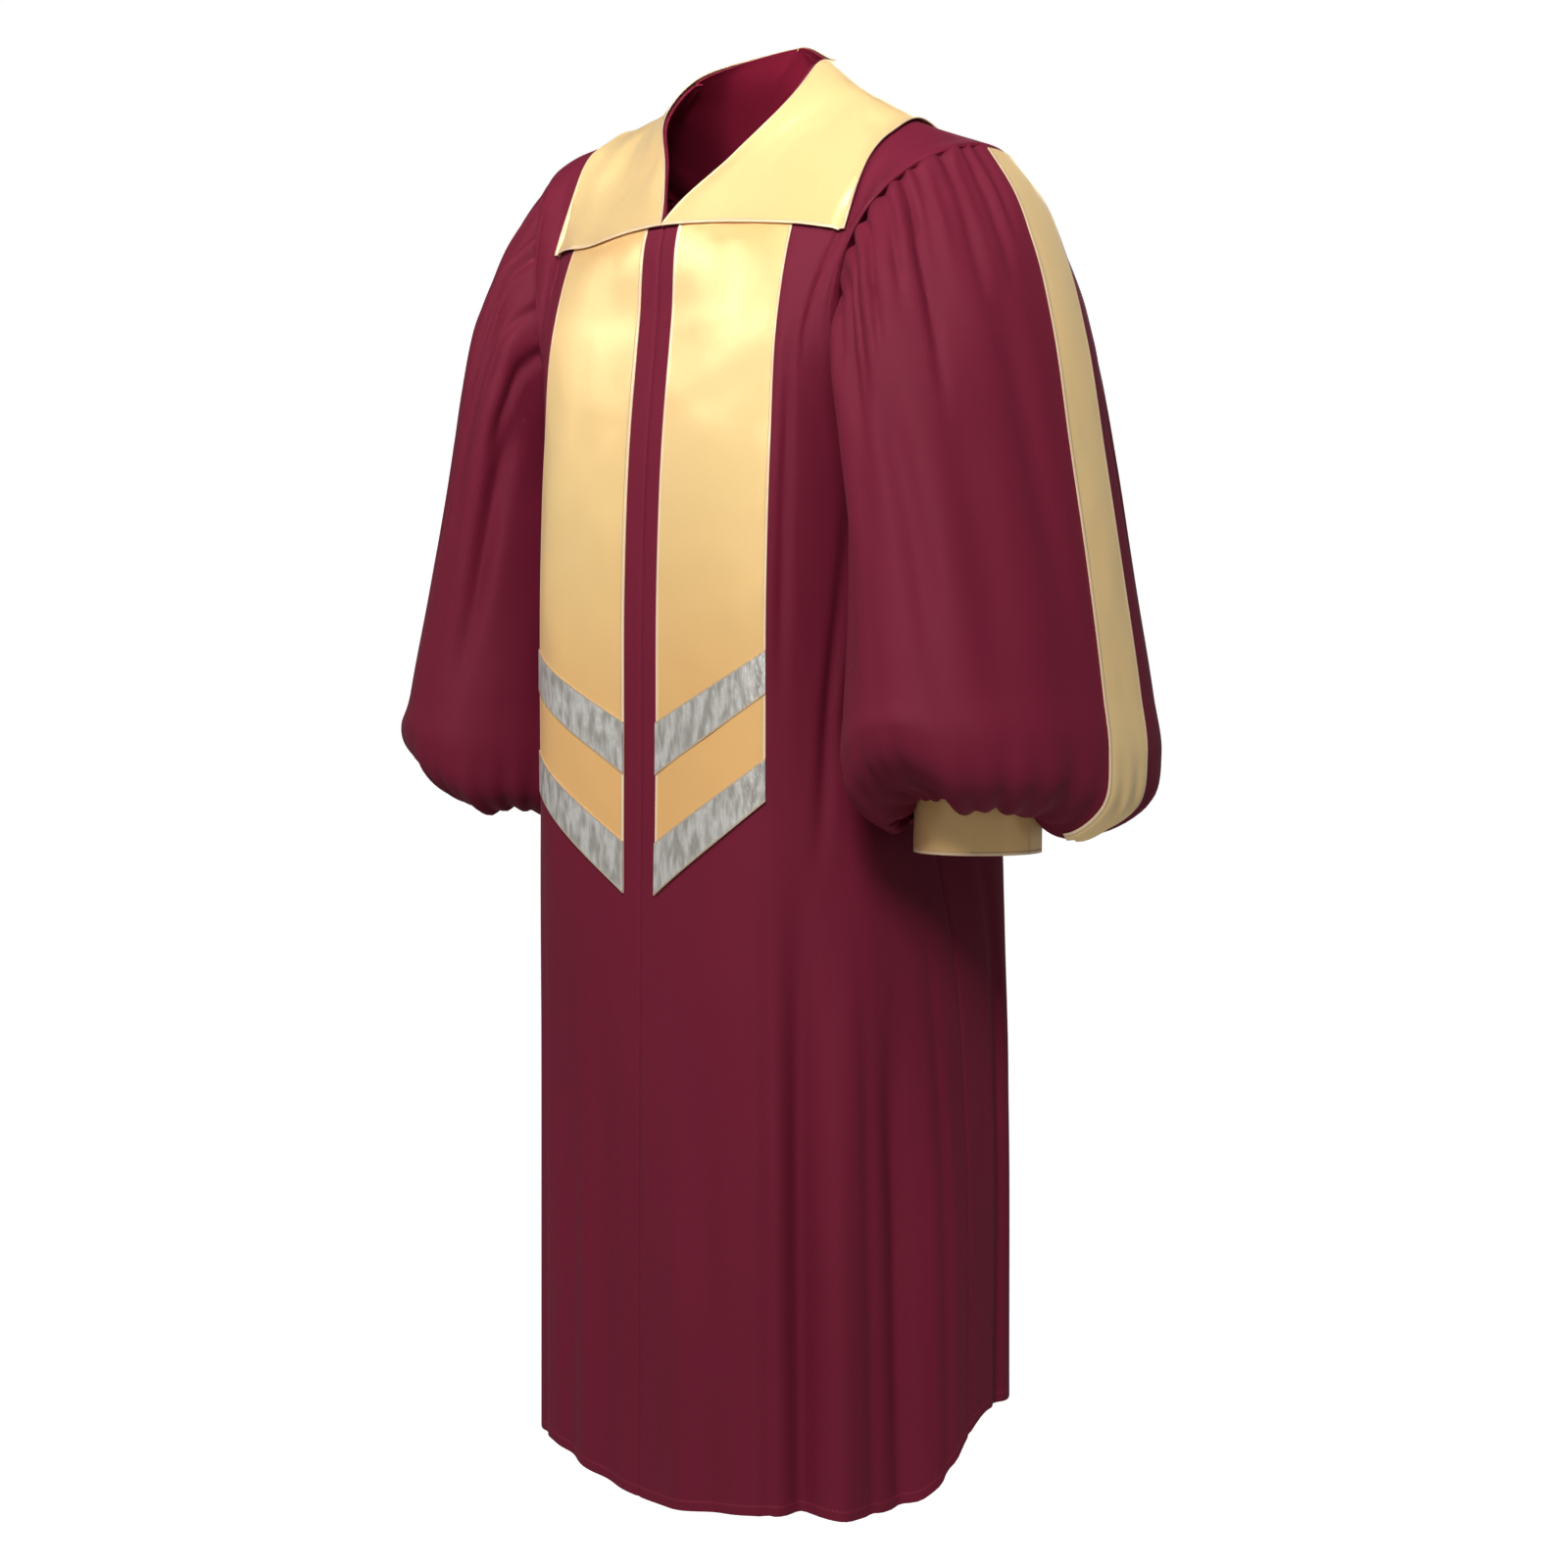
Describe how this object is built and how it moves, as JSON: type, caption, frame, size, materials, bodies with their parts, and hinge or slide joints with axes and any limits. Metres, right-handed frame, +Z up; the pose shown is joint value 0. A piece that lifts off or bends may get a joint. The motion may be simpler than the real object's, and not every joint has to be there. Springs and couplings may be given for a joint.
{
  "type": "choir robe",
  "caption": "Full-length choir robe with a notched satin collar, long front panels with chevron bands, and full striped sleeves gathered into cuffs.",
  "frame": {"origin": "midway between the shoulders, at the height of the neckline's side points, where the wearer carries the robe", "axes": "+Z up, the front faces -Y, +X is the wearer's left"},
  "size_m": [0.7576, 0.3878, 1.3149],
  "materials": {
    "robe_cloth": "soft matt woven polyester, deep maroon",
    "gold_satin": "smooth satin, pale gold",
    "silver_satin": "bright metallic ribbon, silver"
  },
  "bodies": {
    "root": {"front_left": "robe_cloth", "front_right": "robe_cloth", "back": "robe_cloth", "sleeve_left": "robe_cloth", "sleeve_right": "robe_cloth", "collar_left": "gold_satin", "collar_right": "gold_satin", "stole_left": "gold_satin", "stole_right": "gold_satin", "stripe_left": "gold_satin", "stripe_right": "gold_satin", "cuff_left": "gold_satin", "cuff_right": "gold_satin", "band_upper_left": "silver_satin", "band_upper_right": "silver_satin", "band_lower_left": "silver_satin", "band_lower_right": "silver_satin"}
  },
  "joints": []
}
